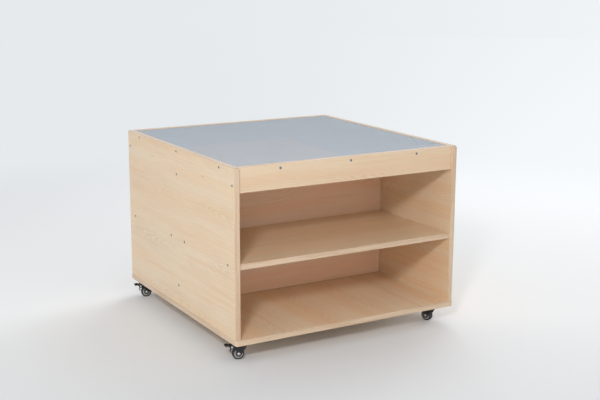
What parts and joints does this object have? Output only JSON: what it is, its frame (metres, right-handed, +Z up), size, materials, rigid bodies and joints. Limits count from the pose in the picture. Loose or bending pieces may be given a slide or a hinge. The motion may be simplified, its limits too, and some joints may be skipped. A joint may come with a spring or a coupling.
{
  "type": "kids table with storage",
  "caption": "Low square play table on swivel casters, with a stud-plate building surface in a raised rim and open shelves on two sides.",
  "frame": {"origin": "on the floor, under the middle of the cabinet", "axes": "+X to the right along the open front, +Y to the open rear, +Z up; the front is towards -Y"},
  "size_m": [0.8466, 0.862, 0.622],
  "materials": {
    "beech_board": "satin laminate",
    "stud_plate": "moulded, satin",
    "screw_steel": "zinc plated",
    "plug_plastic": "moulded",
    "zinc_steel": "zinc plated",
    "bearing_steel": "polished",
    "black_steel": "black, satin",
    "hub_plastic": "moulded, light grey",
    "tyre_rubber": "moulded"
  },
  "bodies": {
    "cabinet": {"left_side_panel": "beech_board", "right_side_panel": "beech_board", "bottom_panel": "beech_board", "centre_divider": "beech_board", "front_shelf": "beech_board", "rear_shelf": "beech_board", "front_apron": "beech_board", "rear_apron": "beech_board", "top_board": "beech_board", "stud_plate_front_left": "stud_plate", "stud_plate_rear_left": "stud_plate", "stud_plate_front_right": "stud_plate", "stud_plate_rear_right": "stud_plate", "left_side_screws": "screw_steel", "right_side_screws": "screw_steel", "apron_screws": "screw_steel", "base_screws": "screw_steel", "side_plugs": "plug_plastic", "caster_screws": "screw_steel", "caster_plate_front_left": "zinc_steel", "kingpin_front_left": "zinc_steel", "swivel_balls_front_left": "bearing_steel", "caster_plate_rear_left": "zinc_steel", "kingpin_rear_left": "zinc_steel", "swivel_balls_rear_left": "bearing_steel", "caster_plate_front_right": "zinc_steel", "kingpin_front_right": "zinc_steel", "swivel_balls_front_right": "bearing_steel", "caster_plate_rear_right": "zinc_steel", "kingpin_rear_right": "zinc_steel", "swivel_balls_rear_right": "bearing_steel"},
    "front_left_fork": {"fork_front_left": "black_steel", "axle_bolt_front_left": "zinc_steel", "axle_sleeve_front_left": "zinc_steel", "brake_pin_front_left": "zinc_steel"},
    "front_left_wheel": {"hub_front_left": "hub_plastic", "tyre_front_left": "tyre_rubber"},
    "front_left_pedal": {"brake_pedal_front_left": "black_steel"},
    "rear_left_fork": {"fork_rear_left": "black_steel", "axle_bolt_rear_left": "zinc_steel", "axle_sleeve_rear_left": "zinc_steel", "brake_pin_rear_left": "zinc_steel"},
    "rear_left_wheel": {"hub_rear_left": "hub_plastic", "tyre_rear_left": "tyre_rubber"},
    "rear_left_pedal": {"brake_pedal_rear_left": "black_steel"},
    "front_right_fork": {"fork_front_right": "black_steel", "axle_bolt_front_right": "zinc_steel", "axle_sleeve_front_right": "zinc_steel"},
    "front_right_wheel": {"hub_front_right": "hub_plastic", "tyre_front_right": "tyre_rubber"},
    "rear_right_fork": {"fork_rear_right": "black_steel", "axle_bolt_rear_right": "zinc_steel", "axle_sleeve_rear_right": "zinc_steel"},
    "rear_right_wheel": {"hub_rear_right": "hub_plastic", "tyre_rear_right": "tyre_rubber"}
  },
  "joints": [
    {"name": "front_left_swivel", "type": "hinge", "parent": "cabinet", "child": "front_left_fork", "pos_m": [-0.368, -0.375, 0.062], "axis": [0, 0, 1], "continuous": true},
    {"name": "front_left_roll", "type": "hinge", "parent": "front_left_fork", "child": "front_left_wheel", "pos_m": [-0.38371, -0.37195, 0.019], "axis": [-0.1908, -0.9816, 0], "continuous": true},
    {"name": "front_left_brake", "type": "hinge", "parent": "front_left_fork", "child": "front_left_pedal", "pos_m": [-0.4053, -0.36775, 0.043], "axis": [-0.1908, -0.9816, 0], "range_deg": [0, 15]},
    {"name": "rear_left_swivel", "type": "hinge", "parent": "cabinet", "child": "rear_left_fork", "pos_m": [-0.368, 0.375, 0.062], "axis": [0, 0, 1], "continuous": true},
    {"name": "rear_left_roll", "type": "hinge", "parent": "rear_left_fork", "child": "rear_left_wheel", "pos_m": [-0.38376, 0.37778, 0.019], "axis": [-0.1736, -0.9848, 0], "continuous": true},
    {"name": "rear_left_brake", "type": "hinge", "parent": "rear_left_fork", "child": "rear_left_pedal", "pos_m": [-0.40542, 0.3816, 0.043], "axis": [-0.1736, -0.9848, 0], "range_deg": [0, 15]},
    {"name": "front_right_swivel", "type": "hinge", "parent": "cabinet", "child": "front_right_fork", "pos_m": [0.368, -0.375, 0.062], "axis": [0, 0, 1], "continuous": true},
    {"name": "front_right_roll", "type": "hinge", "parent": "front_right_fork", "child": "front_right_wheel", "pos_m": [0.36279, -0.35987, 0.019], "axis": [-0.9455, -0.3256, 0], "continuous": true},
    {"name": "rear_right_swivel", "type": "hinge", "parent": "cabinet", "child": "rear_right_fork", "pos_m": [0.368, 0.375, 0.062], "axis": [0, 0, 1], "continuous": true},
    {"name": "rear_right_roll", "type": "hinge", "parent": "rear_right_fork", "child": "rear_right_wheel", "pos_m": [0.35815, 0.38761, 0.019], "axis": [-0.788, -0.6157, 0], "continuous": true}
  ]
}
